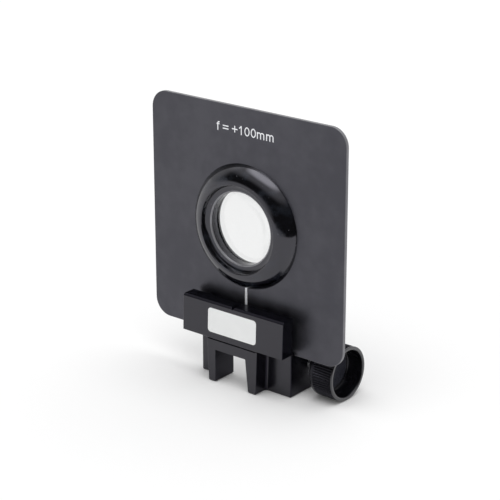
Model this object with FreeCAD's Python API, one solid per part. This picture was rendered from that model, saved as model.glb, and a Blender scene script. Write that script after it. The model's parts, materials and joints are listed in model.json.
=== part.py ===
import FreeCAD, Part
import math
import os
from FreeCAD import Vector

# A converging lens in a square plate mount, standing in a bench rider with a clamp screw.
# X runs across the bench rail, Y along it and away from the front, Z up.
# The origin is on the seat that rests on the rail, under the plate's middle plane.
# All sizes are in millimetres, angles in degrees.

# Plate: a square sheet with a round hole for the lens mount
PLATE_SIDE = 130.0
PLATE_THICK = 2.0
PLATE_CORNER_R = 10.0

# Lens: equal curves on both faces, worked out from the focal length
FOCAL_LENGTH = 100.0
GLASS_INDEX = 1.52
LENS_R = 22.5
LENS_MIDDLE_THICK = 7.0

# Lens mount: a domed front ring with a sleeve through the plate, and a ring nut behind
RING_R = 34.5
DOME_R = 12.8
DOME_TILT = 21.6
RECESS_R = 24.5
RECESS_FOOT_R = 23.6
RECESS_FOOT = 5.3
RECESS_FLOOR = 4.2
LIP_BREAK = 0.6
APERTURE_R = 20.0
APERTURE_BREAK = 0.45
LENS_SEAT = 0.4
SLEEVE_WALL = 3.4
SLEEVE_REACH = 2.2
NUT_R = 31.0
NUT_HEIGHT = 4.0
NUT_APERTURE_R = 20.0
NUT_EDGE = 0.8
NUT_NOTCHES = 4
NUT_NOTCH_WIDTH = 4.0
NUT_NOTCH_CUT = 2.4
NUT_NOTCH_DEPTH = 1.6

# Rider body: a wall with a slot for the plate, a fork over the rail and a clamp lug
SLOT_FLOOR = 5.0
FRONT_LIP = 2.9
REAR_LIP = 1.5
LIP_HEIGHT = 18.4
LIP_LEFT = 27.0
LIP_RIGHT = 31.0
BODY_LEFT = 28.7
BODY_RIGHT = 33.3
CROSSBAR = 6.5
LEG_LENGTH = 19.0
FORK_HALF = 17.3
CHANNEL_LEFT = 11.6
CHANNEL_RIGHT = 9.1
CHANNEL_LEAN = 6.0
DRAFT = 2.0
FORK_STEP = 0.2
LUG_LENGTH = 18.4
CORNER_FILLET = 1.5
EDGE_ROUND = 0.8
FOOT_EDGE = 0.6

# Front bar: a block on the crossbar, its front top edge bevelled and cut with an index notch
BAR_LENGTH = 69.0
BAR_THICK = 9.2
BAR_HEIGHT = 20.9
BAR_BEVEL = 1.0
NOTCH_WIDTH = 2.4
NOTCH_DEPTH = 1.5

# Two countersunk screws hold the bar from below
BAR_SCREW_SPACING = 9.6
BAR_SCREW_R = 2.0
BAR_SCREW_LENGTH = 12.0
BAR_SCREW_HEAD_R = 3.8
BAR_SCREW_CONE = 1.8
BAR_SCREW_SINK = 0.2
BAR_SCREW_HEX = 2.5
BAR_SCREW_HEX_DEPTH = 1.2
BAR_SCREW_ROOM = 1.0

# Label: a blank sticker on the bar
LABEL_WIDTH = 33.2
LABEL_HEIGHT = 13.8
LABEL_THICK = 0.15
LABEL_CORNER_R = 2.0

# Clamp screw, its pad and its cupped knob, all on one axis along X
SCREW_BACK = 11.0
SCREW_DROP = 3.85
SCREW_R = 3.0
SCREW_TIP_EDGE = 0.5
SCREW_IN_KNOB = 6.0
BALL_R = 1.9
NECK_R = 1.2
PAD_R = 4.2
PAD_THICK = 4.5
PAD_SET_BACK = 0.8
PAD_WALL = 0.7
PAD_MOUTH_R = 1.5
PAD_EDGE = 0.5
KNOB_STAND_OFF = 7.7
KNOB_R = 15.1
KNOB_LENGTH = 17.1
KNOB_BACK_R = 12.6
KNOB_COLLAR = 0.8
KNOB_GROOVE = 0.5
KNOB_SHOULDER = 4.4
KNOB_EDGE = 0.25
CUP_MOUTH_R = 13.2
CUP_FLOOR_R = 11.6
CUP_DEPTH = 9.4
CUP_CORNER = 0.7
RIM_LENGTH = 0.9
RIM_EDGE = 0.6
KNURL_COUNT = 64
KNURL_DEPTH = 0.6
KNURL_RELIEF = 0.1

# Clearances
SLOT_FIT = 0.1
SLEEVE_FIT = 0.1
THREAD_FIT = 0.05
LENS_FIT = 0.1
LENS_TOUCH = 0.05
SCREW_HOLE_FIT = 0.15
BORE_FIT = 0.05
COUNTERBORE_FIT = 0.4
BALL_FIT = 0.08
SCREW_GRIP = 0.02

# How far a cutting shape reaches past the face that it cuts
OVERCUT = 1.0

# Places that several pieces share
plate_front = -PLATE_THICK / 2
plate_back = PLATE_THICK / 2
axis_height = SLOT_FLOOR + PLATE_SIDE / 2
floor = -LEG_LENGTH
draft_slope = math.tan(math.radians(DRAFT))
channel_slope = math.tan(math.radians(CHANNEL_LEAN))
slot_half = PLATE_THICK / 2 + SLOT_FIT
wall_front = -(slot_half + FRONT_LIP)
wall_back = slot_half + REAR_LIP
bar_front = wall_front - BAR_THICK
bar_middle = wall_front - BAR_THICK / 2
fork_front = bar_front + FORK_STEP
lug_back = wall_back + LUG_LENGTH
pocket_r = LENS_R + LENS_FIT
sleeve_r = pocket_r + SLEEVE_WALL
sleeve_end = plate_back + SLEEVE_REACH
seat = plate_front + LENS_SEAT
screw_y = wall_back + SCREW_BACK
pad_face = CHANNEL_RIGHT + channel_slope * SCREW_DROP + PAD_SET_BACK
pad_back = pad_face + PAD_THICK
ball_x = pad_face + PAD_WALL + BALL_R + BALL_FIT
knob_back = BODY_RIGHT + KNOB_STAND_OFF
knob_face = knob_back + KNOB_LENGTH


def outline(path):
    """Closed face. A point is reached by a line, a (middle, end) pair by an arc."""
    edges = []
    here = path[0]
    for step in path[1:] + path[:1]:
        if isinstance(step, tuple):
            edges.append(Part.Arc(here, step[0], step[1]).toShape())
            here = step[1]
        else:
            edges.append(Part.makeLine(here, step))
            here = step
    return Part.Face(Part.Wire(edges))


def block(x0, x1, y0, y1, z0, z1):
    return Part.makeBox(x1 - x0, y1 - y0, z1 - z0, Vector(x0, y0, z0))


def on_lens_axis(path):
    """Turn an outline of (radius, y) points about the optical axis."""
    solid = outline(path).revolve(Vector(0, 0, 0), Vector(0, 1, 0), 360)
    solid.translate(Vector(0, 0, axis_height))
    return solid


def on_screw_axis(path):
    """Turn an outline of (x, radius) points about the clamp screw's axis."""
    solid = outline(path).revolve(Vector(0, 0, 0), Vector(1, 0, 0), 360)
    solid.translate(Vector(0, screw_y, -SCREW_DROP))
    return solid


def edges_where(shape, test):
    """Edges whose two ends and middle all pass a test."""
    found = []
    for edge in shape.Edges:
        ends = [vertex.Point for vertex in edge.Vertexes]
        if all(test(point) for point in ends + [edge.CenterOfMass]):
            found.append(edge)
    return found


def near(value, target):
    return abs(value - target) < 1e-4


def arc_middle(centre, radius, start, end):
    """Point half way along an arc from start to end about centre."""
    chord = (start + end) * 0.5 - centre
    return centre + chord * (radius / chord.Length)


# Lens: the surface radius comes from the thick lens formula for two equal curves

def surface_radius():
    root = math.sqrt(1 - LENS_MIDDLE_THICK / (GLASS_INDEX * FOCAL_LENGTH))
    return (GLASS_INDEX - 1) * FOCAL_LENGTH * (1 + root)


def sag(radius):
    """Depth of the curved surface at a distance from the axis."""
    curve = surface_radius()
    return curve - math.sqrt(curve ** 2 - radius ** 2)


lens_middle = seat + LENS_TOUCH + LENS_MIDDLE_THICK / 2 - sag(APERTURE_R)


def lens():
    front = lens_middle - LENS_MIDDLE_THICK / 2
    back = lens_middle + LENS_MIDDLE_THICK / 2
    half = LENS_R / 2
    return on_lens_axis([
        Vector(0, front, 0),
        (Vector(half, front + sag(half), 0), Vector(LENS_R, front + sag(LENS_R), 0)),
        Vector(LENS_R, back - sag(LENS_R), 0),
        (Vector(half, back - sag(half), 0), Vector(0, back, 0)),
    ])


# Plate and the two rings that grip it and the lens

def lens_plate():
    half = PLATE_SIDE / 2
    plate = block(-half, half, plate_front, plate_back, SLOT_FLOOR, SLOT_FLOOR + PLATE_SIDE)
    corners = edges_where(plate, lambda p: near(abs(p.x), half) and near(abs(p.z - axis_height), half))
    plate = plate.makeFillet(PLATE_CORNER_R, corners)
    hole = Part.makeCylinder(
        sleeve_r + SLEEVE_FIT, PLATE_THICK * 3, Vector(0, -PLATE_THICK * 1.5, axis_height), Vector(0, 1, 0))
    return plate.cut(hole)


def front_ring():
    """Domed flange, a recess that narrows from its lip to the aperture, and a sleeve for the lens."""
    tilt = math.radians(DOME_TILT)
    foot = Vector(RING_R, plate_front, 0)
    centre = Vector(RING_R - DOME_R * math.cos(tilt), plate_front + DOME_R * math.sin(tilt), 0)
    lip_r = RECESS_R + LIP_BREAK
    lip = Vector(lip_r, centre.y - math.sqrt(DOME_R ** 2 - (lip_r - centre.x) ** 2), 0)
    recess_y = plate_front - RECESS_FLOOR
    return on_lens_axis([
        foot,
        (arc_middle(centre, DOME_R, foot, lip), lip),
        Vector(RECESS_R, lip.y + LIP_BREAK, 0),
        Vector(RECESS_FOOT_R, plate_front - RECESS_FOOT, 0),
        Vector(APERTURE_R + APERTURE_BREAK, recess_y, 0),
        Vector(APERTURE_R, recess_y + APERTURE_BREAK, 0),
        Vector(APERTURE_R, seat, 0),
        Vector(pocket_r, seat, 0),
        Vector(pocket_r, sleeve_end, 0),
        Vector(sleeve_r, sleeve_end, 0),
        Vector(sleeve_r, plate_front, 0),
    ])


def rear_ring():
    """Ring nut on the sleeve. Its spigot holds the lens, its notches take a pin spanner."""
    back = plate_back + NUT_HEIGHT
    thread_r = sleeve_r + THREAD_FIT
    thread_end = sleeve_end + SLEEVE_FIT
    spigot = lens_middle + LENS_MIDDLE_THICK / 2 - sag(NUT_APERTURE_R) + LENS_TOUCH
    nut = on_lens_axis([
        Vector(NUT_R, plate_back, 0),
        Vector(NUT_R, back - NUT_EDGE, 0),
        Vector(NUT_R - NUT_EDGE, back, 0),
        Vector(NUT_APERTURE_R, back, 0),
        Vector(NUT_APERTURE_R, spigot, 0),
        Vector(LENS_R, spigot, 0),
        Vector(LENS_R, thread_end, 0),
        Vector(thread_r, thread_end, 0),
        Vector(thread_r, plate_back, 0),
    ])
    notch = block(
        NUT_R - NUT_NOTCH_CUT, NUT_R + NUT_NOTCH_CUT, back - NUT_NOTCH_DEPTH, back + NUT_NOTCH_DEPTH,
        axis_height - NUT_NOTCH_WIDTH / 2, axis_height + NUT_NOTCH_WIDTH / 2)
    for index in range(NUT_NOTCHES):
        turned = notch.copy()
        turned.rotate(Vector(0, 0, axis_height), Vector(0, 1, 0), 360 * (index + 0.5) / NUT_NOTCHES)
        nut = nut.cut(turned)
    return nut


# Rider: body, front bar with its screws and label

def upright_prism(y0, y1, top, top_left, top_right, bottom, bottom_left, bottom_right):
    """Prism along the rail from a four-sided section with level top and bottom."""
    face = outline([
        Vector(top_left, y0, top),
        Vector(top_right, y0, top),
        Vector(bottom_right, y0, bottom),
        Vector(bottom_left, y0, bottom),
    ])
    return face.extrude(Vector(0, y1 - y0, 0))


def bar_screw_places():
    return [Vector(side * BAR_SCREW_SPACING / 2, bar_middle, 0) for side in (-1, 1)]


def rider_body():
    foot_half = FORK_HALF - draft_slope * (CROSSBAR + LEG_LENGTH)
    wall = block(-BODY_LEFT, BODY_RIGHT, wall_front, wall_back, floor, CROSSBAR)
    fork = upright_prism(fork_front, wall_back, CROSSBAR, -FORK_HALF, FORK_HALF, floor, -foot_half, foot_half)
    lug = block(CHANNEL_RIGHT, BODY_RIGHT, wall_front, lug_back, floor, CROSSBAR)
    lips = block(-LIP_LEFT, LIP_RIGHT, wall_front, wall_back, 0, CROSSBAR + LIP_HEIGHT)
    body = wall.fuse([fork, lug]).removeSplitter()

    # Rounded outer corners of the wall and lug, and a fillet where the fork meets the wall
    upright = edges_where(body, lambda p: near(p.x, -BODY_LEFT) or near(p.x, BODY_RIGHT))
    upright = [edge for edge in upright if near(edge.Vertexes[0].X, edge.Vertexes[-1].X)
               and near(edge.Vertexes[0].Y, edge.Vertexes[-1].Y)]
    body = body.makeFillet(EDGE_ROUND, upright)
    inner = edges_where(body, lambda p: near(p.y, wall_front) and near(
        abs(p.x), foot_half + draft_slope * (p.z - floor)))
    body = body.makeFillet(CORNER_FILLET, inner)

    # Rounded top edges of the lug, behind the plate
    top = edges_where(body, lambda p: near(p.z, CROSSBAR) and p.y > wall_back + EDGE_ROUND / 2)
    body = body.makeFillet(EDGE_ROUND, top)

    # Channel for the rail, upright on the left and leaning on the clamp's side, and the plate's slot
    below = floor - OVERCUT
    channel = upright_prism(fork_front - OVERCUT, lug_back + OVERCUT, 0, -CHANNEL_LEFT, CHANNEL_RIGHT,
                            below, -CHANNEL_LEFT, CHANNEL_RIGHT - channel_slope * below)
    body = body.fuse(lips).cut(channel).removeSplitter()
    body = body.makeChamfer(FOOT_EDGE, edges_where(body, lambda p: near(p.z, floor)))
    body = body.cut(block(-PLATE_SIDE, PLATE_SIDE, -slot_half, slot_half,
                          SLOT_FLOOR, CROSSBAR + LIP_HEIGHT + OVERCUT))

    # Threaded bore for the clamp screw, with room for its pad at the rail
    middle = Vector(0, screw_y, -SCREW_DROP)
    bore = Part.makeCylinder(SCREW_R + BORE_FIT, BODY_RIGHT + OVERCUT, middle, Vector(1, 0, 0))
    room = Part.makeCylinder(PAD_R + COUNTERBORE_FIT, pad_back + COUNTERBORE_FIT, middle, Vector(1, 0, 0))
    body = body.cut([bore, room])

    # Countersunk holes up through the crossbar
    for place in bar_screw_places():
        shank = Part.makeCylinder(BAR_SCREW_R + SCREW_HOLE_FIT, CROSSBAR + OVERCUT, place)
        sink_r = BAR_SCREW_HEAD_R + SCREW_HOLE_FIT
        sink = Part.makeCone(sink_r, BAR_SCREW_R + SCREW_HOLE_FIT, BAR_SCREW_CONE,
                             place + Vector(0, 0, BAR_SCREW_SINK))
        mouth = Part.makeCylinder(sink_r, BAR_SCREW_SINK + OVERCUT, place - Vector(0, 0, OVERCUT))
        body = body.cut([shank, sink, mouth])
    return body


def front_bar():
    lean = draft_slope * BAR_HEIGHT
    top = CROSSBAR + BAR_HEIGHT
    half = BAR_LENGTH / 2
    bar = outline([
        Vector(-half, bar_front, CROSSBAR),
        Vector(-half, bar_front + lean, top),
        Vector(-half, wall_front, top),
        Vector(-half, wall_front, CROSSBAR),
    ]).extrude(Vector(BAR_LENGTH, 0, 0))
    ridge = edges_where(bar, lambda p: near(p.z, top) and near(p.y, bar_front + lean))
    bar = bar.makeChamfer(BAR_BEVEL, ridge)
    notch = outline([
        Vector(-NOTCH_WIDTH / 2, bar_front, top),
        Vector(0, bar_front, top - NOTCH_DEPTH),
        Vector(NOTCH_WIDTH / 2, bar_front, top),
        Vector(NOTCH_WIDTH / 2, bar_front, top + OVERCUT),
        Vector(-NOTCH_WIDTH / 2, bar_front, top + OVERCUT),
    ]).extrude(Vector(0, BAR_THICK, 0))
    hole_depth = BAR_SCREW_SINK + BAR_SCREW_LENGTH + BAR_SCREW_ROOM - CROSSBAR
    holes = [Part.makeCylinder(BAR_SCREW_R + SCREW_GRIP, hole_depth, place + Vector(0, 0, CROSSBAR))
             for place in bar_screw_places()]
    return bar.cut([notch] + holes)


def bar_screws():
    screws = []
    for place in bar_screw_places():
        base = place + Vector(0, 0, BAR_SCREW_SINK)
        head = Part.makeCone(BAR_SCREW_HEAD_R, BAR_SCREW_R, BAR_SCREW_CONE, base)
        shank = Part.makeCylinder(BAR_SCREW_R, BAR_SCREW_LENGTH, base)
        corner = BAR_SCREW_HEX / math.sqrt(3)
        ring = [base + Vector(corner * math.cos(math.pi * k / 3), corner * math.sin(math.pi * k / 3), 0)
                for k in range(6)]
        socket = outline(ring).extrude(Vector(0, 0, BAR_SCREW_HEX_DEPTH))
        screws.append(head.fuse(shank).cut(socket).removeSplitter())
    return Part.makeCompound(screws)


def label():
    """Rounded sticker that lies flat on the bar's leaning front face."""
    sheet = block(-LABEL_WIDTH / 2, LABEL_WIDTH / 2, -LABEL_THICK, 0, -LABEL_HEIGHT / 2, LABEL_HEIGHT / 2)
    sheet = sheet.makeFillet(LABEL_CORNER_R, edges_where(
        sheet, lambda p: near(abs(p.x), LABEL_WIDTH / 2) and near(abs(p.z), LABEL_HEIGHT / 2)))
    sheet.rotate(Vector(0, 0, 0), Vector(1, 0, 0), -DRAFT)
    sheet.translate(Vector(0, bar_front + draft_slope * BAR_HEIGHT / 2, CROSSBAR + BAR_HEIGHT / 2))
    return sheet


# Clamp screw with its pad and knob

def clamp_screw():
    """Stud with a ball at its tip for the pad, moulded into the knob at its other end."""
    shank_start = pad_back + COUNTERBORE_FIT
    ball_side = math.sqrt(BALL_R ** 2 - NECK_R ** 2)
    return on_screw_axis([
        Vector(ball_x - BALL_R, 0, 0),
        (Vector(ball_x, BALL_R, 0), Vector(ball_x + ball_side, NECK_R, 0)),
        Vector(shank_start, NECK_R, 0),
        Vector(shank_start, SCREW_R - SCREW_TIP_EDGE, 0),
        Vector(shank_start + SCREW_TIP_EDGE, SCREW_R, 0),
        Vector(knob_back + SCREW_IN_KNOB, SCREW_R, 0),
        Vector(knob_back + SCREW_IN_KNOB, 0, 0),
    ])


def pressure_pad():
    """Round foot that snaps over the ball and presses on the rail without turning."""
    socket_r = BALL_R + BALL_FIT
    mouth_x = ball_x + math.sqrt(socket_r ** 2 - PAD_MOUTH_R ** 2)
    return on_screw_axis([
        Vector(pad_face, 0, 0),
        Vector(pad_face, PAD_R - PAD_EDGE, 0),
        Vector(pad_face + PAD_EDGE, PAD_R, 0),
        Vector(pad_back, PAD_R, 0),
        Vector(pad_back, PAD_MOUTH_R, 0),
        Vector(mouth_x, PAD_MOUTH_R, 0),
        (Vector(ball_x, socket_r, 0), Vector(ball_x - socket_r, 0, 0)),
    ])


def knurled_band(start, end):
    """Prism whose section has a pointed ridge for each knurl."""
    points = []
    for step in range(2 * KNURL_COUNT):
        radius = KNOB_R - KNURL_RELIEF if step % 2 == 0 else KNOB_R - KNURL_DEPTH
        angle = math.pi * step / KNURL_COUNT
        points.append(Vector(start, radius * math.cos(angle), radius * math.sin(angle)))
    band = outline(points).extrude(Vector(end - start, 0, 0))
    band.translate(Vector(0, screw_y, -SCREW_DROP))
    return band


def clamp_knob():
    """Moulded cup with its open face outwards, knurled outside, on a blind hub."""
    groove = Vector(knob_back + KNOB_COLLAR, KNOB_BACK_R - KNOB_GROOVE, 0)
    shoulder = Vector(knob_back + KNOB_SHOULDER, KNOB_R - KNURL_DEPTH - KNURL_RELIEF, 0)
    rise = shoulder - groove
    shoulder_round = rise.Length ** 2 / (2 * rise.y)
    centre = shoulder - Vector(0, shoulder_round, 0)
    rim_x = knob_face - RIM_LENGTH
    back = on_screw_axis([
        Vector(knob_back, 0, 0),
        Vector(knob_back, KNOB_BACK_R - KNOB_EDGE, 0),
        Vector(knob_back + KNOB_EDGE, KNOB_BACK_R, 0),
        Vector(groove.x, KNOB_BACK_R, 0),
        groove,
        (arc_middle(centre, shoulder_round, groove, shoulder), shoulder),
        Vector(shoulder.x, 0, 0),
    ])
    rim = on_screw_axis([
        Vector(rim_x, 0, 0),
        Vector(rim_x, KNOB_R, 0),
        Vector(knob_face - RIM_EDGE, KNOB_R, 0),
        Vector(knob_face, KNOB_R - RIM_EDGE, 0),
        Vector(knob_face, 0, 0),
    ])

    # The hollow of the cup, and the blind hole that the screw is moulded into
    cup_x = knob_face - CUP_DEPTH
    cup = on_screw_axis([
        Vector(knob_face + OVERCUT, 0, 0),
        Vector(knob_face + OVERCUT, CUP_MOUTH_R + RIM_EDGE, 0),
        Vector(knob_face, CUP_MOUTH_R + RIM_EDGE, 0),
        Vector(knob_face - RIM_EDGE, CUP_MOUTH_R, 0),
        Vector(cup_x + CUP_CORNER, CUP_FLOOR_R, 0),
        Vector(cup_x, CUP_FLOOR_R - CUP_CORNER, 0),
        Vector(cup_x, 0, 0),
    ])
    hole = Part.makeCylinder(SCREW_R + SCREW_GRIP, SCREW_IN_KNOB + SCREW_GRIP + OVERCUT,
                             Vector(knob_back - OVERCUT, screw_y, -SCREW_DROP), Vector(1, 0, 0))
    knob = back.fuse([knurled_band(shoulder.x, rim_x), rim]).removeSplitter()
    return knob.cut([cup, hole])


pieces = {
    "lens_plate": lens_plate(),
    "front_ring": front_ring(),
    "rear_ring": rear_ring(),
    "lens": lens(),
    "rider_body": rider_body(),
    "front_bar": front_bar(),
    "bar_screws": bar_screws(),
    "label": label(),
    "clamp_screw": clamp_screw(),
    "pressure_pad": pressure_pad(),
    "clamp_knob": clamp_knob(),
}

os.makedirs("parts", exist_ok=True)
for name, shape in pieces.items():
    shape.exportStep("parts/" + name + ".step")
    box = shape.BoundBox
    print(name, len(shape.Solids), shape.isValid(), round(shape.Volume, 1),
          [round(v, 2) for v in (box.XMin, box.XMax, box.YMin, box.YMax, box.ZMin, box.ZMax)])
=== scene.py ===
import json
import math

import bmesh
import bpy
import numpy as np
from mathutils import Matrix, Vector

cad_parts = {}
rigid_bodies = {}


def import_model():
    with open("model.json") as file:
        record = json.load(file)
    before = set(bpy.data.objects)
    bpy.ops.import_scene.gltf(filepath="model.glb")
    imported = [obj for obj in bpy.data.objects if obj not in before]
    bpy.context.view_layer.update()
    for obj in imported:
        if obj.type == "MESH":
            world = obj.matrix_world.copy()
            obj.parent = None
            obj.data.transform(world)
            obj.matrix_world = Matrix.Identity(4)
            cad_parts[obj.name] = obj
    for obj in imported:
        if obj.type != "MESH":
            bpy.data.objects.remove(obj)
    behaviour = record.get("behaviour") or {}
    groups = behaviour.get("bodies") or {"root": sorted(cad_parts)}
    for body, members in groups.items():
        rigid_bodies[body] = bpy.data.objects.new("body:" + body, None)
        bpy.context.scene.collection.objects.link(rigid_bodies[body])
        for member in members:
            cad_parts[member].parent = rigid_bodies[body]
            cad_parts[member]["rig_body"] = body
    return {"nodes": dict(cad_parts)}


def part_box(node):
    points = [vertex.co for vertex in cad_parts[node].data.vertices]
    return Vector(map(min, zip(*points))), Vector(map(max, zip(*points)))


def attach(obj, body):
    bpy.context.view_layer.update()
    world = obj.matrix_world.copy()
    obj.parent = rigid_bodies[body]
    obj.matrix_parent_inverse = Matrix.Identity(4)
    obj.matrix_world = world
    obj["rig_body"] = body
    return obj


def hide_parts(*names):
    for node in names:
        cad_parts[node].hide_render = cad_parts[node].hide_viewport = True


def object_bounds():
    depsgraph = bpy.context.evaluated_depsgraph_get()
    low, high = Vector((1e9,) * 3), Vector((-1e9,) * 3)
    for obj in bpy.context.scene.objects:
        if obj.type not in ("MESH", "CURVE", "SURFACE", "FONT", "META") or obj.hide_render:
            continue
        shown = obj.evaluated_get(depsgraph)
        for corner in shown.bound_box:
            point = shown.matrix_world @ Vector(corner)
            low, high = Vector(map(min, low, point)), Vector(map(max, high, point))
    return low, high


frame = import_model()
cad_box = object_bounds()


# Plate: a square of 2 mm sheet, its edges broken and sprayed with satin black lacquer.
# The lacquer has a faint orange peel, and handling has left cloudy smears on it.

class Wire:
    """A value in a material or world. Sums and products of it become Math nodes."""

    def __init__(self, nodes, socket):
        self.nodes = nodes
        self.socket = socket

    def __add__(self, other):
        return self.nodes.math("ADD", self, other)

    def __radd__(self, other):
        return self.nodes.math("ADD", other, self)

    def __sub__(self, other):
        return self.nodes.math("SUBTRACT", self, other)

    def __rsub__(self, other):
        return self.nodes.math("SUBTRACT", other, self)

    def __mul__(self, other):
        return self.nodes.math("MULTIPLY", self, other)

    def __rmul__(self, other):
        return self.nodes.math("MULTIPLY", other, self)


class Nodes:
    """The nodes of one material or world."""

    BLOTCH = 0.7  # about the width of a blotch of the noise texture at scale 1

    def __init__(self, tree):
        self.tree = tree

    def feed(self, socket, value):
        """Link a wire to a socket, or set the socket to a number, colour or vector."""
        if isinstance(value, Wire):
            self.tree.links.new(value.socket, socket)
        else:
            socket.default_value = value

    def node(self, kind, settings=(), sockets=(), output=0):
        """Add a node with its settings, then its sockets. Returns one of its outputs."""
        node = self.tree.nodes.new("ShaderNode" + kind)
        for key, value in dict(settings).items():
            setattr(node, key, value)
        for key, value in dict(sockets).items():
            self.feed(node.inputs[key], value)
        return Wire(self, node.outputs[output])

    def math(self, operation, *values):
        return self.node("Math", {"operation": operation}, dict(enumerate(values)))

    def place(self, axis):
        """Where the surface lies along X, Y or Z, in metres."""
        return self.node("SeparateXYZ", {}, {0: self.node("TexCoord", output="Object")}, axis)

    def distance(self, first, second):
        """Square root of the sum of both values' squares."""
        return self.math("SQRT", first * first + second * second)

    def clouds(self, size, detail=3, stretch=(1, 1, 1)):
        """Soft noise from 0 to 1 whose blotches are about that many metres across."""
        place = self.node("TexCoord", output="Object")
        scaled = self.node("VectorMath", {"operation": "MULTIPLY"}, {0: place, 1: stretch})
        return self.node("TexNoise", {}, {"Vector": scaled, "Scale": self.BLOTCH / size, "Detail": detail})

    def ease(self, value, start, end):
        """0 below start, 1 above end, and a smooth step between."""
        return self.node("MapRange", {"interpolation_type": "SMOOTHSTEP"},
                         {"Value": value, "From Min": start, "From Max": end})

    def tint(self, share, first, second):
        """Colour that goes from the first to the second as share goes from 0 to 1."""
        return self.node("Mix", {"data_type": "RGBA"}, {0: share, 6: first, 7: second}, 2)


class Finish(Nodes):
    """A material with one Principled shader, whose constants are set on its own sockets."""

    def __init__(self, name, **constants):
        self.material = bpy.data.materials.new(name)
        self.material.use_nodes = True
        super().__init__(self.material.node_tree)
        self.shader = self.tree.nodes["Principled BSDF"]
        self.vary(**constants)

    def vary(self, **values):
        """Feed the shader's sockets, by their names with _ for each space."""
        for key, value in values.items():
            self.feed(self.shader.inputs[key.replace("_", " ")], value)

    def relief(self, height, depth, under=None):
        """Bump from a height of 0 to 1 that stands for that many metres, on another or alone."""
        sockets = {"Height": height, "Distance": depth}
        if under is not None:
            sockets["Normal"] = under
        return self.node("Bump", {}, sockets)

    def lay_on(self, piece, slot):
        piece.data.materials.clear()
        piece.data.materials.append(self.material)


# Lengths in metres.
WELD = 1e-5
FLAT_ANGLE = math.radians(0.5)
CORNER_ANGLE = math.radians(32)
END_PIECE = 0.0015
SHARE_OF_ROOM = 0.25


def softened(node, name, width, carve=None):
    """Copy of a solid's surface, its flat faces joined and its edges rounded over.

    Carve may cut the copy first. A rounding is at most a share of the shortest edge beside
    its own, so that roundings don't meet. A long edge is split near its ends, so that only
    the short end pieces get narrower where they meet short edges.
    """
    mesh = bpy.data.meshes.new(name)
    shell = bmesh.new()
    shell.from_mesh(frame["nodes"][node].data)
    bmesh.ops.remove_doubles(shell, verts=shell.verts, dist=WELD)
    bmesh.ops.dissolve_limit(shell, angle_limit=FLAT_ANGLE, verts=shell.verts, edges=shell.edges)
    if carve:
        carve(shell)
        bmesh.ops.remove_doubles(shell, verts=shell.verts, dist=WELD)
    share = shell.edges.layers.float.new("bevel_weight_edge")
    corners = [edge for edge in shell.edges if edge.calc_face_angle(0) > CORNER_ANGLE]
    for edge in corners[:]:
        for end in tuple(edge.verts):
            if edge.calc_length() > 3 * END_PIECE:
                corners.append(bmesh.utils.edge_split(edge, end, END_PIECE / edge.calc_length())[0])
    for edge in corners:
        room = min(beside.calc_length() for vert in edge.verts for beside in vert.link_edges)
        edge[share] = min(1, SHARE_OF_ROOM * room / width)
    shell.to_mesh(mesh)
    shell.free()
    for attribute in ("custom_normal", "sharp_face", "sharp_edge"):
        if attribute in mesh.attributes:
            mesh.attributes.remove(mesh.attributes[attribute])
    mesh.shade_smooth()
    piece = bpy.data.objects.new(name, mesh)
    bpy.context.scene.collection.objects.link(piece)
    bevel = piece.modifiers.new("rounded edges", "BEVEL")
    bevel.width = width
    bevel.segments = 3
    bevel.limit_method = "WEIGHT"
    bevel.use_clamp_overlap = False
    bevel.harden_normals = True
    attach(piece, frame["nodes"][node]["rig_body"])
    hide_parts(node)
    return piece


# In metres.
PLATE_HALF = 0.065
PLATE_CORNER = 0.010
PLATE_MIDDLE_Z = 0.070
PLATE_ROUNDING = 0.00025
# Band along the plate's outline painted paler: lacquer rubbed through at the edges, and a painted highlight
# along them.
RUBBED_AND_HIGHLIT_FROM = 0.00035
RUBBED_AND_HIGHLIT_THROUGH = 0.0001
LACQUER_BLACK = (0.002, 0.002, 0.004, 1)
LACQUER_SMEARED = (0.02, 0.02, 0.023, 1)
LACQUER_RUBBED_AND_HIGHLIT = (0.15, 0.15, 0.155, 1)

lacquer = Finish("satin black lacquer", IOR=1.72, Specular_Tint=(0.87, 0.86, 1.0, 1))
smears = lacquer.clouds(0.03, 6, (1.0, 1.0, 0.7))
haze = lacquer.clouds(0.006, 5)
peel = lacquer.clouds(0.0011, 2)
# The distance from the inner square, whose corners are the round corners' centres, is
# PLATE_CORNER all along the plate's outline.
off_square = [
    lacquer.math("MAXIMUM", lacquer.math("ABSOLUTE", off_middle) - (PLATE_HALF - PLATE_CORNER), 0)
    for off_middle in (lacquer.place("X"), lacquer.place("Z") - PLATE_MIDDLE_Z)
]
edge_strip = lacquer.ease(lacquer.distance(*off_square),
                          PLATE_CORNER - RUBBED_AND_HIGHLIT_FROM, PLATE_CORNER - RUBBED_AND_HIGHLIT_THROUGH)
# The plate's outline painted paler in patches: rubbed lacquer and a painted highlight.
rubbed_and_sheen = edge_strip * (0.5 + 0.8 * haze)
smeared = lacquer.tint(lacquer.ease(0.6 * smears + 0.4 * haze, 0.38, 0.64), LACQUER_BLACK, LACQUER_SMEARED)
lacquer.vary(
    Base_Color=lacquer.tint(rubbed_and_sheen, smeared, LACQUER_RUBBED_AND_HIGHLIT),
    Roughness=0.24 + 0.14 * smears + 0.06 * haze,
    Normal=lacquer.relief(peel, 0.000003),
)
plate = softened("lens_plate", "plate", PLATE_ROUNDING)
lacquer.lay_on(plate, "plate_black")


# Print on the plate: a white index line from the ring down to the rider, and the focal
# length above the lens, screen printed in a layer some hundredths of a millimetre thick.

# In metres.
PRINT_THICK = 0.00003
FACE_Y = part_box("lens_plate")[0].y
INK_THIN = (0.88, 0.89, 0.92, 1)
INK_FULL = (0.94, 0.95, 0.98, 1)

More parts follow.
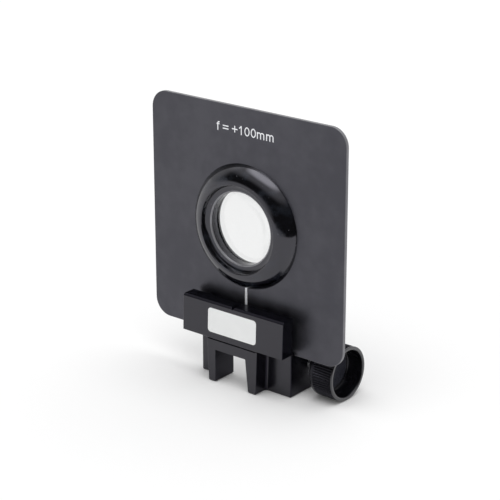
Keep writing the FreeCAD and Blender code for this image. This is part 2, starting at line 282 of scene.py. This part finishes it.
ink = Finish("white screen ink", IOR=1.45)
grain = ink.clouds(0.0004, 2)
thin = ink.clouds(0.003, 3)
ink.vary(
    Base_Color=ink.tint(ink.ease(thin, 0.3, 0.6), INK_THIN, INK_FULL),
    Roughness=0.42 + 0.15 * thin,
    Normal=ink.relief(grain, 0.000002),
)

TOUCHING = 1e-7
CREASE_ANGLE = math.radians(35)


def surface(name, *grids):
    """Mesh of shells, each a grid of points, rows by columns by 3, joined round its columns.

    Points that meet are welded, such as a row drawn together at a pole or a last row that
    repeats the first, and each shell's faces are turned outwards by the sign of its volume.
    """
    shells = []
    start = 0
    for grid in grids:
        rows, columns = grid.shape[:2]
        row = np.arange(rows - 1)[:, None] * columns
        column = np.arange(columns)[None, :]
        beside = (column + 1) % columns
        quads = np.stack([row + column, row + beside, row + columns + beside, row + columns + column],
                         axis=-1).reshape(-1, 4)
        a, b, c, d = (grid.reshape(-1, 3)[quads[:, k]] for k in range(4))
        volume = np.sum(a * np.cross(b, c)) + np.sum(a * np.cross(c, d))
        shells.append(start + (quads if volume > 0 else quads[:, ::-1]))
        start += rows * columns
    points = np.concatenate([grid.reshape(-1, 3) for grid in grids])
    mesh = bpy.data.meshes.new(name)
    mesh.from_pydata(points, [], np.concatenate(shells))
    welded = bmesh.new()
    welded.from_mesh(mesh)
    bmesh.ops.remove_doubles(welded, verts=welded.verts, dist=TOUCHING)
    welded.to_mesh(mesh)
    welded.free()
    mesh.shade_smooth()
    mesh.set_sharp_from_angle(angle=CREASE_ANGLE)
    piece = bpy.data.objects.new(name, mesh)
    bpy.context.scene.collection.objects.link(piece)
    return piece


def stroke(path, width, thick):
    """Flat bar of ink on the plate: a rectangle carried along a path of (x, z).

    Path and width are in millimetres and thick is in metres. The bar is drawn together at
    both ends, unless the path comes back to its start.
    """
    path = np.asarray(path, float) / 1000
    looped = np.allclose(path[0], path[-1])
    along = np.gradient(path, axis=0)
    if looped:
        along[0] = along[-1] = path[1] - path[-2]
    along /= np.linalg.norm(along, axis=1)[:, None]
    side = np.stack([-along[:, 1], along[:, 0]], axis=1) * width / 2000
    left, right = path + side, path - side
    flat = np.stack([left, right, right, left], axis=1)
    depth = np.broadcast_to(FACE_Y - np.array([thick, thick, 0, 0]), flat.shape[:2])
    grid = np.stack([flat[..., 0], depth, flat[..., 1]], axis=-1)
    if looped:
        return grid
    ends = [np.broadcast_to(grid[row].mean(axis=0), (1, 4, 3)) for row in (0, -1)]
    return np.concatenate([ends[0], grid, ends[1]])


# In millimetres on the plate's front, from the seat on the rail.
INDEX_X = 0.3
INDEX_WIDTH = 1.5
INDEX_TOP = 35.5
INDEX_FOOT = 5.6

line = np.linspace((INDEX_X, INDEX_TOP), (INDEX_X, INDEX_FOOT), 4)
index_line = surface("index_line", stroke(line, INDEX_WIDTH, PRINT_THICK))
ink.lay_on(index_line, "label_white")
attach(index_line, "rider")

# In millimetres. LAYER_STEP is a share of the ink's thickness.
PEN = 0.62
BASE_LINE = 119.95
FIGURE = 4.9
SMALL = 3.65
HOOK_Z = 3.75
NOUGHT_HALF = 1.4
STEM_STEP = 2.12
ARCH = 1.0
LAYER_STEP = 0.02


def bow(x, z, half_width, half_height, start, end):
    """Part of an ellipse about (x, z), from one angle to another."""
    angle = np.radians(np.linspace(start, end, 25))
    return [(x + half_width * math.cos(a), z + half_height * math.sin(a)) for a in angle]


def nought(x):
    """A whole ellipse, as tall as the figures."""
    return bow(x, FIGURE / 2, NOUGHT_HALF, (FIGURE - PEN) / 2, 0, 360)


def letter_m(x):
    """A stem and two arches, each of which ends in a stem of its own."""
    half, spring = STEM_STEP / 2, SMALL - PEN / 2 - ARCH
    arches = [bow(left + half, spring, half, ARCH, 150, 0) + [(left + STEM_STEP, 0)]
              for left in (x, x + STEM_STEP)]
    return [[(x, 0), (x, SMALL)]] + arches


# The pen's strokes for f = +100 mm, across from the lens axis and up from the base line. Each
# is thicker than the one before it by LAYER_STEP, so that no two faces share a plane.
marks = [
    [(-18.72, 0)] + bow(-17.75, HOOK_Z, 0.97, FIGURE - PEN / 2 - HOOK_Z, 180, 70),
    [(-19.5, 3.5), (-17.6, 3.5)],
    [(-15.3, 3.15), (-11.4, 3.15)],
    [(-15.3, 1.63), (-11.4, 1.63)],
    [(-9.05, 2.45), (-5.3, 2.45)],
    [(-7.17, 0.65), (-7.17, 4.2)],
    [(-2.75, 0), (-2.75, FIGURE)],
    [(-4.25, 3.45), (-3.5, 3.85), (-2.95, 4.6)],
    nought(1.08),
    nought(5.3),
] + letter_m(8.0) + letter_m(14.1)
shells = [stroke(np.array(mark) + (0, BASE_LINE), PEN, PRINT_THICK * (1 + LAYER_STEP * index))
          for index, mark in enumerate(marks)]
focal_length = surface("focal_length", *shells)
ink.lay_on(focal_length, "label_white")
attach(focal_length, "rider")


# Front ring: glossy black moulding, domed outside, with a recess inside its round lip.
# Its sleeve passes through the plate and holds the lens.

AXIS_Z = PLATE_MIDDLE_Z
# In millimetres, along the lens axis from the plate's middle.
PLATE_FRONT = -1.0
RING_R = 34.5
DOME_R = 12.8
DOME_TILT = math.radians(21.6)
LIP_R = 25.2
APERTURE_R = 20.0
APERTURE_FRONT = -5.5
APERTURE_ROUND = 0.8
LENS_BED = -0.6
SLEEVE_BORE = 22.6
SLEEVE_R = 26.0
SLEEVE_END = 3.2
GLOSS_BLACK = (0.001, 0.001, 0.0015, 1)
# Painted light on the ring: a bluish sheen painted into its grease smudges, and small painted highlight
# flecks.
GLOSS_GREASE_AND_SHEEN = (0.006, 0.008, 0.012, 1)
GLOSS_PAINTED_FLECK = (0.09, 0.09, 0.1, 1)
# Painted highlight along the aperture's edge.
GLOSS_EDGE_HIGHLIGHT = (0.2, 0.2, 0.21, 1)


def rounded(corners):
    """Path through corners of (radius, along, rounding, steps), each turned by an arc.

    Corners are in millimetres and the path is in metres. An arc's ends lie rounding /
    tan(half the corner's angle) from its corner, and its points go evenly round the centre
    that both sides touch.
    """
    spots = np.array([corner[:2] for corner in corners], float)
    parts = []
    for index, (_, _, radius, steps) in enumerate(corners):
        here = spots[index]
        if not radius:
            parts.append(here[None])
            continue
        back = spots[index - 1] - here
        on = spots[(index + 1) % len(spots)] - here
        back, on = back / np.linalg.norm(back), on / np.linalg.norm(on)
        half = math.acos(np.clip(back @ on, -1, 1)) / 2
        centre = here + (back + on) / np.linalg.norm(back + on) * radius / math.sin(half)
        start = here + back * radius / math.tan(half) - centre
        end = here + on * radius / math.tan(half) - centre
        turn = math.pi - 2 * half
        share = np.linspace(0, 1, steps)[:, None]
        spoke = (np.sin((1 - share) * turn) * start + np.sin(share * turn) * end) / math.sin(turn)
        parts.append(centre + spoke)
    return np.concatenate(parts) / 1000


def turned_on_lens_axis(path, columns):
    """Grid of a path of (radius, y) turned about the optical axis."""
    angle = np.linspace(0, 2 * math.pi, columns, endpoint=False)
    radius, along = path[:, :1], path[:, 1:]
    return np.stack([radius * np.cos(angle), along + 0 * angle, AXIS_Z + radius * np.sin(angle)], axis=-1)


# The dome is one arc from the plate to the lip. Its corner is where the tangents at both its
# ends meet.
dome_middle = (RING_R - DOME_R * math.cos(DOME_TILT), PLATE_FRONT + DOME_R * math.sin(DOME_TILT))
lip_angle = math.acos((LIP_R - dome_middle[0]) / DOME_R)
lip_y = dome_middle[1] - DOME_R * math.sin(lip_angle)
half_turn = (lip_angle - DOME_TILT) / 2
apex_away = DOME_R / math.cos(half_turn)
apex_angle = DOME_TILT + half_turn
apex = (dome_middle[0] + apex_away * math.cos(apex_angle), dome_middle[1] - apex_away * math.sin(apex_angle))
# From the plate over the dome and the lip, down the recess, through the aperture to the
# lens's bed, and round the sleeve.
ring_path = rounded([
    (RING_R, PLATE_FRONT, 0.08, 4),
    (*apex, DOME_R, 49),
    (24.5, lip_y - 0.05, 0.55, 9),
    (23.6, -6.3, 0.35, 6),
    (22.3, -5.55, 5.0, 13),
    (APERTURE_R, APERTURE_FRONT, APERTURE_ROUND, 9),
    (APERTURE_R, LENS_BED, 0.1, 4),
    (SLEEVE_BORE, LENS_BED, 0.05, 3),
    (SLEEVE_BORE, SLEEVE_END, 0.2, 4),
    (SLEEVE_R, SLEEVE_END, 0.2, 4),
    (SLEEVE_R, PLATE_FRONT, 0.05, 3),
])
ring = surface("ring", turned_on_lens_axis(np.concatenate([ring_path, ring_path[:1]]), 288))

gloss = Finish("gloss black moulding", IOR=1.7, Specular_Tint=(0.9, 0.89, 1.0, 1))
film = gloss.clouds(0.012, 4)
# Fingermarks: grease that roughens the gloss, with a painted bluish sheen in their colour.
fingermarks_and_sheen = gloss.ease(gloss.clouds(0.005, 7), 0.46, 0.68)
# Specks painted pale and roughened: painted highlight flecks that stand in for catch-lights.
painted_highlight_flecks = gloss.ease(gloss.clouds(0.0009, 1), 0.76, 0.8)
edge_r = (APERTURE_R + APERTURE_ROUND) / 1000
edge_y = (APERTURE_FRONT + APERTURE_ROUND) / 1000
from_lens_axis = gloss.distance(gloss.place("X"), gloss.place("Z") - AXIS_Z)
aperture_edge = ((1 - gloss.ease(from_lens_axis, edge_r, edge_r + 0.0001))
                 * (1 - gloss.ease(gloss.place("Y"), edge_y - 0.0002, edge_y)))
# The aperture's edge is painted pale in patches: a painted highlight that stands in for the light the edge
# catches.
painted_edge_highlight = aperture_edge * gloss.ease(gloss.clouds(0.004, 3), 0.2, 0.5)
grease_sheen_and_flecks = gloss.tint(painted_highlight_flecks, gloss.tint(fingermarks_and_sheen, GLOSS_BLACK, GLOSS_GREASE_AND_SHEEN), GLOSS_PAINTED_FLECK)
gloss.vary(
    Base_Color=gloss.tint(painted_edge_highlight, grease_sheen_and_flecks, GLOSS_EDGE_HIGHLIGHT),
    Roughness=0.06 + 0.06 * film + 0.17 * fingermarks_and_sheen + 0.3 * painted_highlight_flecks,
    Normal=gloss.relief(film, 0.00001),
)
gloss.lay_on(ring, "ring_black")
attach(ring, "rider")
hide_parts("front_ring")


# Lens: a biconvex disc of crown glass, 45 mm across and 7 mm thick in the middle, polished to
# the same curve on both faces for a focal length of 100 mm, its edge ground matt and blackened.

# In millimetres, along the lens axis from the plate's middle.
LENS_R = 22.5
LENS_MIDDLE = 0.9856
LENS_HALF = 3.5
CURVE_R = 102.7885
GLASS_CLEAR = (0.84, 0.845, 0.845, 1)
GLASS_BLACKENED = (0.01, 0.01, 0.01, 1)

# The rows lie closer together towards the edge, where the faces slope most.
out = np.linspace(0, 1, 40) ** 0.7 * LENS_R
sag = CURVE_R - np.sqrt(CURVE_R ** 2 - out ** 2)
front = np.stack([out, LENS_MIDDLE - LENS_HALF + sag], axis=1)
back = np.stack([out, LENS_MIDDLE + LENS_HALF - sag], axis=1)
disc = surface("glass_disc", turned_on_lens_axis(np.concatenate([front, back[::-1]]) / 1000, 192))

crown = Finish("crown glass", IOR=1.52, Transmission_Weight=1.0)
wiped = crown.clouds(0.02, 4)
from_lens_axis = crown.distance(crown.place("X"), crown.place("Z") - AXIS_Z)
ground = crown.ease(from_lens_axis, (LENS_R - 0.1) / 1000, (LENS_R - 0.04) / 1000)
crown.vary(
    Base_Color=crown.tint(ground, GLASS_CLEAR, GLASS_BLACKENED),
    Roughness=0.004 * wiped + 0.5 * ground,
)
crown.lay_on(disc, "glass")
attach(disc, "rider")
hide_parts("lens")


# Ring nut behind the plate: the same glossy black moulding. Four notches in its rim take a
# pin spanner, and its aperture keeps the lens in.

NUT_ROUNDING = 0.0002

nut = softened("rear_ring", "ring_nut", NUT_ROUNDING)
gloss.lay_on(nut, "ring_black")


# Rider: one black moulding with the plate's slot, a fork over the rail and the clamp lug.
# The mould's halves were polished where they close, so its front and back are glossy and
# its drafted sides are matt. A shadow gap is let into the crossbar's edge under the bar.

# In metres.
SEAM = 0.0007
MOULD_ROUNDING = 0.0003
ACROSS_DRAW = 0.8
MOULDED_DARK = (0.001, 0.001, 0.002, 1)
MOULDED_PALE = (0.003, 0.003, 0.005, 1)

moulded = Finish("moulded black", IOR=1.36, Specular_Tint=(0.8, 0.75, 1.0, 1),
                 Coat_IOR=1.54, Coat_Roughness=0.2)
texture = moulded.clouds(0.00035, 3)
flow = moulded.clouds(0.02, 4, (1.0, 1.0, 0.5))
rubbed_and_sheen = moulded.clouds(0.005, 4)
polished = moulded.node("Attribute", {"attribute_name": "polished"}, output="Fac")
moulded.vary(
    Base_Color=moulded.tint(flow, MOULDED_DARK, MOULDED_PALE),
    Roughness=0.16 + 0.1 * flow + 0.05 * rubbed_and_sheen,
    Coat_Weight=polished * (0.5 + 0.15 * flow),
    Normal=moulded.relief(texture, 0.000004, moulded.relief(rubbed_and_sheen, 0.00001)),
)


def polish_ends(piece):
    """Attribute that is 1 on the faces across the mould's draw, along Y, and 0 on its sides."""
    ends = [float(abs(face.normal.y) > ACROSS_DRAW) for face in piece.data.polygons]
    piece.data.attributes.new("polished", "FLOAT", "FACE").data.foreach_set("value", ends)


def let_in_gap(shell):
    """Square rabbet along the crossbar's upper front edge, SEAM wide and deep."""
    front = min(vert.co.y for vert in shell.verts)
    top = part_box("front_bar")[0].z
    upper = [edge for edge in shell.edges
             if all(abs(vert.co.y - front) < WELD and abs(vert.co.z - top) < WELD for vert in edge.verts)]
    bmesh.ops.bevel(shell, geom=upper, offset=SEAM, offset_type="OFFSET", segments=2,
                    profile=0.0, affect="EDGES")


body = softened("rider_body", "rider_moulding", MOULD_ROUNDING, let_in_gap)
polish_ends(body)
moulded.lay_on(body, "rider_black")


# Front bar: a bevelled block of the same black, with an index notch cut in its top edge. Two
# countersunk steel screws hold it from below, up against the crossbar.

SCREW_ROUNDING = 0.00008
STEEL_DARK = (0.36, 0.36, 0.37, 1)
STEEL_BRIGHT = (0.55, 0.55, 0.56, 1)

bar = softened("front_bar", "bar", MOULD_ROUNDING)
polish_ends(bar)
moulded.lay_on(bar, "rider_black")

steel = Finish("turned steel", Metallic=1.0)
scratches = steel.clouds(0.0005, 3, (0.15, 1.0, 1.0))
steel.vary(
    Base_Color=steel.tint(scratches, STEEL_DARK, STEEL_BRIGHT),
    Roughness=0.2 + 0.2 * scratches,
    Normal=steel.relief(scratches, 0.000003),
)
screws = softened("bar_screws", "countersunk_screws", SCREW_ROUNDING)
steel.lay_on(screws, "screw_steel")


# Label: a blank sticker of white plastic film, cut with round corners and pressed on the
# middle of the bar, where its own adhesive holds it.

LABEL_ROUNDING = 0.00004
FILM_GREYED = (0.8, 0.81, 0.81, 1)
FILM_WHITE = (0.88, 0.89, 0.885, 1)

sticker = Finish("white label film", IOR=1.45)
fibre = sticker.clouds(0.0009, 4)
greyed = sticker.clouds(0.008, 4)
sticker.vary(
    Base_Color=sticker.tint(greyed, FILM_GREYED, FILM_WHITE),
    Roughness=0.36 + 0.14 * fibre,
    Normal=sticker.relief(fibre, 0.000006),
)
label = softened("label", "sticker", LABEL_ROUNDING)
sticker.lay_on(label, "label_white")


# Clamp screw: an M6 stud of bright steel moulded into the knob. A neck and a ball at its tip
# carry the pressure pad.

# In millimetres.
SCREW_Y = 13.6
SCREW_Z = -3.85
SCREW_R = 3.0
BALL_R = 1.9
NECK_R = 1.2
NECK_OUT = 0.4
CHAMFER = 0.5
THREAD_PITCH = 1.0
THREAD_DEPTH = 0.55
THREAD_RUN_OUT = 0.8
THREAD_ROWS = 14
THREAD_COLUMNS = 56


def turned_on_screw_axis(path, columns, waves):
    """Grid of a path of (radius, x) turned about the screw's axis, its radius lowered by waves.

    Waves is the cut in metres at each row and angle, worked out as a whole array.
    """
    angle = np.linspace(0, 2 * math.pi, columns, endpoint=False)
    radius = path[:, :1] - waves
    return np.stack([path[:, 1:] + 0 * angle, SCREW_Y / 1000 + radius * np.cos(angle),
                     SCREW_Z / 1000 + radius * np.sin(angle)], axis=-1)


stud_low, stud_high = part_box("clamp_screw")
tip, head = stud_low.x * 1000, stud_high.x * 1000
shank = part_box("pressure_pad")[1].x * 1000 + NECK_OUT
sweep = np.linspace(0, math.pi - math.asin(NECK_R / BALL_R), 24)
ball = np.stack([BALL_R * np.sin(sweep), tip + BALL_R - BALL_R * np.cos(sweep)], axis=1)
thread_x = np.arange(shank + CHAMFER, head, THREAD_PITCH / THREAD_ROWS)
stud_path = np.concatenate([
    ball, [(NECK_R, shank), (SCREW_R - CHAMFER, shank)],
    np.stack([np.full_like(thread_x, SCREW_R), thread_x], axis=1),
    [(SCREW_R, head), (0, head)],
]) / 1000
# The thread is a saw wave that goes once round for each pitch along, cut flat at its crests
# and roots. It runs out to nothing at the chamfered end.
turn = np.linspace(0, 1, THREAD_COLUMNS, endpoint=False)[None, :]
along = stud_path[:, 1:] * 1000
saw = np.abs(((along / THREAD_PITCH - turn) % 1.0) * 2 - 1)
on_thread = stud_path[:, :1] * 1000 > SCREW_R - 0.1
run_out = np.clip((along - shank - CHAMFER) / THREAD_RUN_OUT, 0, 1) * on_thread
groove = np.clip(saw * 1.35 - 0.12, 0, 1) * THREAD_DEPTH / 1000 * run_out
stud = surface("stud", turned_on_screw_axis(stud_path, THREAD_COLUMNS, groove))
steel.lay_on(stud, "screw_steel")
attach(stud, "screw")
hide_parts("clamp_screw")


# Pressure pad: a brass foot turned on a lathe. Its socket is snapped over the stud's ball, so
# that it presses on the rail without turning.

PAD_ROUNDING = 0.00008
BRASS_DARK = (0.42, 0.29, 0.1, 1)
BRASS_BRIGHT = (0.62, 0.46, 0.2, 1)

brass = Finish("turned brass", Metallic=1.0)
tarnish = brass.clouds(0.002, 4)
tool_marks = brass.clouds(0.0003, 2, (1.0, 0.2, 0.2))
brass.vary(
    Base_Color=brass.tint(tarnish, BRASS_DARK, BRASS_BRIGHT),
    Roughness=0.24 + 0.2 * tarnish,
    Normal=brass.relief(tool_marks, 0.000003),
)
pad = softened("pressure_pad", "pad_foot", PAD_ROUNDING)
brass.lay_on(pad, "pad_brass")


# Knob: a black moulded cup with 64 straight ridges, a round shoulder behind them, and a
# groove and a thin collar at its back. Its hub grips the stud.

KNURLS = 64
KNURL_COLUMNS = KNURLS * 10
# In millimetres. RIDGES_TO and the depths of the cup are measured from the knob's face, and
# the other lengths along its axis from its back.
KNURL_DEPTH = 0.7
RIDGES_FROM = 4.8
RIDGES_TO = 0.7
KNOB_R = 15.0
RIM_R = 15.1
COLLAR_R = 12.6
COLLAR_THICK = 0.8
GROOVE_R = 12.1
HUB_BORE = 3.02
HUB_DEPTH = 6.02
CUP_DEPTH = 9.15
GUTTER_DEPTH = 9.5
CUP_FLOOR_R = 11.0
GRIP_DARK = (0.001, 0.001, 0.002, 1)
GRIP_WORN = (0.003, 0.003, 0.004, 1)
# Painted light: the cup floor's paler bluish grey stands in for the light that falls on it.
GRIP_FLOOR_PAINTED_LIGHT = (0.03, 0.031, 0.041, 1)

knob_low, knob_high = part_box("clamp_knob")
knob_back, knob_face = knob_low.x * 1000, knob_high.x * 1000
# From the hub's bore round the collar, the groove, the shoulder, the ridges and the rim into
# the cup, whose floor has a gutter round it.
knob_path = rounded([
    (0, knob_back + HUB_DEPTH, 0, 1),
    (HUB_BORE, knob_back + HUB_DEPTH, 0, 1),
    (HUB_BORE, knob_back, 0.1, 4),
    (COLLAR_R, knob_back, 0.25, 5),
    (COLLAR_R, knob_back + COLLAR_THICK, 0.15, 4),
    (GROOVE_R, knob_back + COLLAR_THICK, 0.1, 4),
    (14.75, knob_back + 2.2, 2.2, 14),
    (KNOB_R, knob_back + 4.4, 0, 1),
    (KNOB_R, knob_back + 4.9, 0, 1),
    (KNOB_R, knob_face - 0.75, 0, 1),
    (RIM_R, knob_face - 0.6, 0.05, 3),
    (RIM_R, knob_face, 0.45, 9),
    (13.2, knob_face, 0.6, 9),
    (12.1, knob_face - 8.9, 0.5, 9),
    (11.5, knob_face - 8.95, 0.1, 4),
    (11.4, knob_face - GUTTER_DEPTH, 0.1, 4),
    (CUP_FLOOR_R, knob_face - GUTTER_DEPTH, 0.1, 4),
    (10.9, knob_face - CUP_DEPTH, 0.1, 4),
    (0, knob_face - CUP_DEPTH, 0, 1),
])
ridge_turn = np.linspace(0, 1, KNURL_COLUMNS, endpoint=False)[None, :]
valley = np.cos(ridge_turn * KNURLS * math.pi) ** 2
row_r, row_x = knob_path[:, :1] * 1000, knob_path[:, 1:] * 1000
ridged = (row_r > KNOB_R - 0.05) & (row_x > knob_back + RIDGES_FROM) & (row_x < knob_face - RIDGES_TO)
knob = surface("knob", turned_on_screw_axis(knob_path, KNURL_COLUMNS, valley * ridged * KNURL_DEPTH / 1000))

# The rim is the glossiest, the cup and the back are half as glossy, and the ridges are dull.
# The cup's floor is painted a paler bluish grey: painted light that stands in for the light falling on it.
grip = Finish("moulded knob black", IOR=1.35, Specular_Tint=(0.84, 0.82, 1.0, 1),
              Coat_IOR=1.5, Coat_Roughness=0.18)
worn = grip.clouds(0.006, 4)
pores = grip.clouds(0.0004, 3)
along = 1000 * grip.place("X")
from_screw_axis = grip.distance(1000 * grip.place("Y") - SCREW_Y, 1000 * grip.place("Z") - SCREW_Z)
off_floor = grip.math("ABSOLUTE", along - (knob_face - CUP_DEPTH))
# The cup's floor inside its gutter, where the painted light goes.
painted_light_on_cup_floor = ((1 - grip.ease(off_floor, 0.05, 0.15))
             * (1 - grip.ease(from_screw_axis, CUP_FLOOR_R - 0.1, CUP_FLOOR_R + 0.1)))
rim = grip.ease(along, knob_face - 0.95, knob_face - RIDGES_TO)
within_ridges = 1 - grip.ease(from_screw_axis, 13.4, 13.8)
grip.vary(
    Base_Color=grip.tint(painted_light_on_cup_floor, grip.tint(worn, GRIP_DARK, GRIP_WORN), GRIP_FLOOR_PAINTED_LIGHT),
    Roughness=0.2 + 0.12 * worn,
    Coat_Weight=grip.math("MAXIMUM", rim, 0.5 * within_ridges),
    Normal=grip.relief(pores, 0.000004),
)
grip.lay_on(knob, "knob_black")
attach(knob, "screw")
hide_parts("clamp_knob")


# Floor: a table of white paper, whose near edge lies 0.4 m to the right of the object and
# before it. It is wide enough to fill the picture.

FLOOR_SIDE = 12.0
EDGE_AWAY = 0.4
EDGE_TURN = math.radians(58)
PAPER_GREY = (0.95, 0.95, 0.95, 1)
PAPER_WHITE = (0.96, 0.96, 0.96, 1)

half = FLOOR_SIDE / 2
far = EDGE_AWAY - FLOOR_SIDE
floor_z = cad_box[0].z
near = np.array([math.sin(EDGE_TURN), -math.cos(EDGE_TURN)])
beside = np.array([-near[1], near[0]])
corners = [near * away + beside * side
           for away, side in ((EDGE_AWAY, -half), (EDGE_AWAY, half), (far, half), (far, -half))]
floor_mesh = bpy.data.meshes.new("floor")
floor_mesh.from_pydata([(*corner, floor_z) for corner in corners], [], [(0, 1, 2, 3)])
floor = bpy.data.objects.new("floor", floor_mesh)
bpy.context.scene.collection.objects.link(floor)
paper = Finish("white paper", Roughness=0.9, Specular_IOR_Level=0.0)
paper.vary(Base_Color=paper.tint(paper.clouds(0.3, 3), PAPER_GREY, PAPER_WHITE))
floor.data.materials.append(paper.material)


# Studio: an even white room with a soft light overhead. In gloss it shows a bright ceiling,
# a pale wall on the left and behind, a low white screen at the front left and darkness at
# the right.

SKY = 0.66
SUN = 0.44
DARKNESS = 0.05

world = bpy.data.worlds.new("studio")
bpy.context.scene.world = world
world.use_nodes = True
room = Nodes(world.node_tree)
background = world.node_tree.nodes["Background"]
direction = room.node("TexCoord", output="Generated")
x, y, z = (room.node("SeparateXYZ", {}, {0: direction}, axis) for axis in "XYZ")
ceiling = 0.7 * room.ease(z, 0.5, 0.78) + 2.8 * room.ease(z, 0.82, 0.95)
wall = 0.6 * room.ease(0.5 * y - x, 0.5, 0.8)
screen = 0.9 * (1 - room.ease(z, 0.12, 0.22)) * room.ease(0 - x, -0.1, 0.35)
rear = 0.8 * room.ease(y, 0.2, 0.6)
around = room.math("MAXIMUM", wall, room.math("MAXIMUM", screen, rear))
mirrored = ceiling + DARKNESS + around
glossy = room.node("LightPath", output="Is Glossy Ray")
seen = room.math("MAXIMUM", room.node("LightPath", output="Is Camera Ray"),
                 room.node("LightPath", output="Is Transmission Ray"))
strength = seen + (1 - seen) * (glossy * mirrored + (1 - glossy) * SKY)
room.feed(background.inputs["Strength"], strength)
background.inputs["Color"].default_value = (1, 1, 1, 1)
world.cycles.sampling_method = "NONE"

lamp_data = bpy.data.lights.new("overhead light", "SUN")
lamp_data.energy = SUN * math.pi
lamp_data.angle = math.radians(60)
lamp = bpy.data.objects.new("overhead light", lamp_data)
lamp.location = (0, 0, 1)
lamp.rotation_euler = (math.radians(10), 0, math.radians(39))
lamp.visible_glossy = False
bpy.context.scene.collection.objects.link(lamp)


# Camera: a long lens at the photograph's viewing angle. Its place and its three axes were
# solved from the square plate's edges, and its shift lays the picture on the photograph.

camera_data = bpy.data.cameras.new("camera")
camera_data.lens = 123.8227
camera_data.sensor_width = 36.0
camera_data.shift_x = 0.001
camera_data.shift_y = -0.0006
camera_data.clip_start = 0.01
camera_data.clip_end = 50.0
camera = bpy.data.objects.new("camera", camera_data)
right = (0.775055, 0.631893, -0.001161)
up = (-0.215829, 0.266453, 0.939372)
towards = (0.593892, -0.727815, 0.342897)
spot = (0.5447213, -0.6653156, 0.3707250)
camera.matrix_world = Matrix([[right[k], up[k], towards[k], spot[k]] for k in range(3)] + [[0, 0, 0, 1]])
bpy.context.scene.collection.objects.link(camera)
bpy.context.scene.camera = camera
bpy.context.scene.view_settings.view_transform = "Standard"
